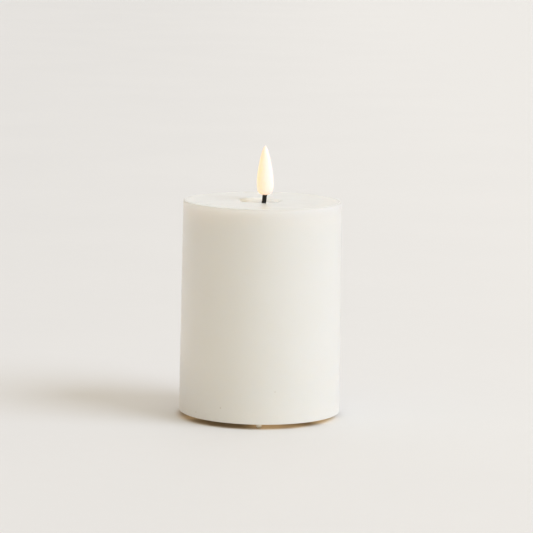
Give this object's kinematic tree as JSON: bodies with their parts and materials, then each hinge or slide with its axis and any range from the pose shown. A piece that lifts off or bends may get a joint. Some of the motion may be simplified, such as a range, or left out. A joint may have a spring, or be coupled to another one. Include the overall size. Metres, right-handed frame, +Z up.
{
  "type": "flameless LED candle",
  "caption": "Flameless wax pillar candle with a black wick, a glowing translucent flame bulb, a hinged battery door and a slide switch underneath.",
  "frame": {"origin": "on the floor under the centre of the pillar, at the height of the feet's tips", "axes": "+Z up along the pillar, -Y towards the front foot, +X to the right; the wick leans towards +X"},
  "size_m": [0.075, 0.075, 0.126],
  "materials": {
    "wax": "cast ivory paraffin wax, softly translucent, satin",
    "flame": "translucent warm moulded acrylic, glossy, lit from inside",
    "wick": "matt black, like charred cord",
    "led": "clear warm epoxy dome, lit",
    "tinned": "bright tin plate",
    "core": "natural white polypropylene",
    "base": "ivory ABS, fine satin grain",
    "housing": "black ABS, satin",
    "cell": "printed plastic sleeve on a steel can",
    "spring": "nickel-plated spring wire",
    "board": "green solder mask on glass-epoxy laminate",
    "chip": "black moulded epoxy",
    "can": "drawn metal can",
    "capacitor": "dark blue shrink sleeve",
    "switch_can": "folded tin plate",
    "slider": "black acetal",
    "knob": "white ABS",
    "screw": "zinc-plated steel",
    "wire_red": "red PVC insulation",
    "wire_black": "black PVC insulation"
  },
  "bodies": {
    "candle": {"wax_pillar": "wax", "flame_bulb": "flame", "wick_tube": "wick", "flame_led": "led", "led_legs": "tinned", "wick_holder": "core", "inner_sleeve": "core", "base_plate": "base", "battery_housing": "housing", "battery_a": "cell", "battery_b": "cell", "positive_contact": "tinned", "negative_contact": "tinned", "negative_spring": "spring", "bridge_contact": "tinned", "bridge_spring": "spring", "circuit_board": "board", "controller_chip": "chip", "timing_crystal": "can", "smoothing_capacitor": "capacitor", "board_resistors": "chip", "switch_body": "switch_can", "switch_terminals": "tinned", "housing_screws": "screw", "board_screws": "screw", "battery_wire_red": "wire_red", "battery_wire_black": "wire_black", "led_wire_red": "wire_red", "led_wire_black": "wire_black"},
    "door": {"battery_door": "base"},
    "latch": {"door_latch": "base"},
    "switch": {"switch_slider": "slider", "switch_knob": "knob"}
  },
  "joints": [
    {"name": "door_hinge", "type": "hinge", "parent": "candle", "child": "door", "pos_m": [-0.01881, -0.01881, 0.0039], "axis": [-0.7071, 0.7071, 0], "range_deg": [0, 95]},
    {"name": "latch_flex", "type": "hinge", "parent": "door", "child": "latch", "pos_m": [0.02174, 0.02174, 0.012], "axis": [-0.7071, 0.7071, 0], "range_deg": [0, 5], "stiffness_Nm_per_rad": 0.05},
    {"name": "switch_slide", "type": "slide", "parent": "candle", "child": "switch", "axis": [0.7071, 0.7071, 0], "range_m": [0, 0.004]}
  ]
}
